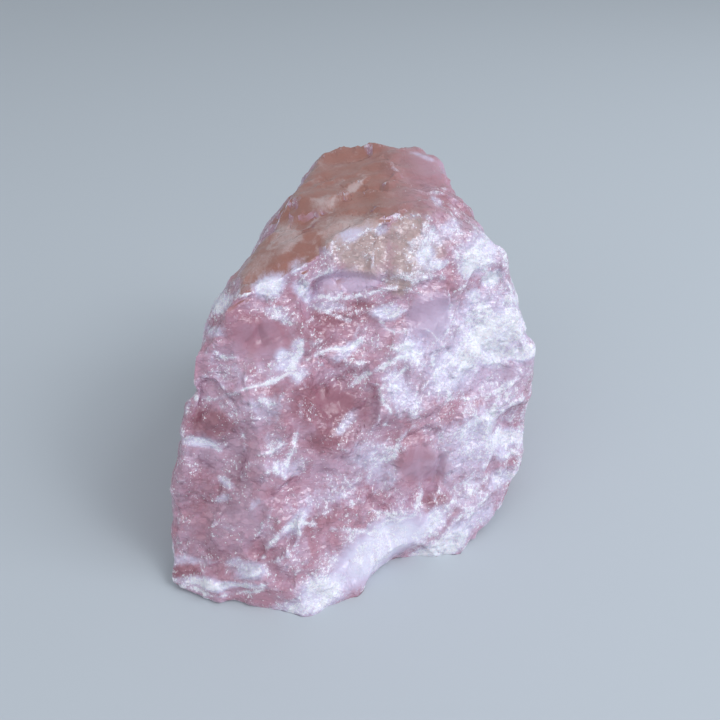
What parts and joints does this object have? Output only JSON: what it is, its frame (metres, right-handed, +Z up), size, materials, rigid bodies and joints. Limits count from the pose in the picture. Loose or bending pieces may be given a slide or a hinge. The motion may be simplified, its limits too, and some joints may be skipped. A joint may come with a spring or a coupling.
{
  "type": "rose quartz chunk",
  "caption": "Rough chunk of rose quartz, broken on every side, with facets, ledges and shell-shaped scars; stands on a flat break.",
  "frame": {"origin": "centre of the chunk's footprint box, on the surface that it stands on", "axes": "+Z up, +Y from the broad sloping front break to the back, +X to the right as seen from the front"},
  "size_m": [0.078, 0.089, 0.068],
  "materials": {
    "rose_quartz": "rough broken, vitreous, translucent"
  },
  "bodies": {
    "root": {"rose_quartz": "rose_quartz"}
  },
  "joints": []
}
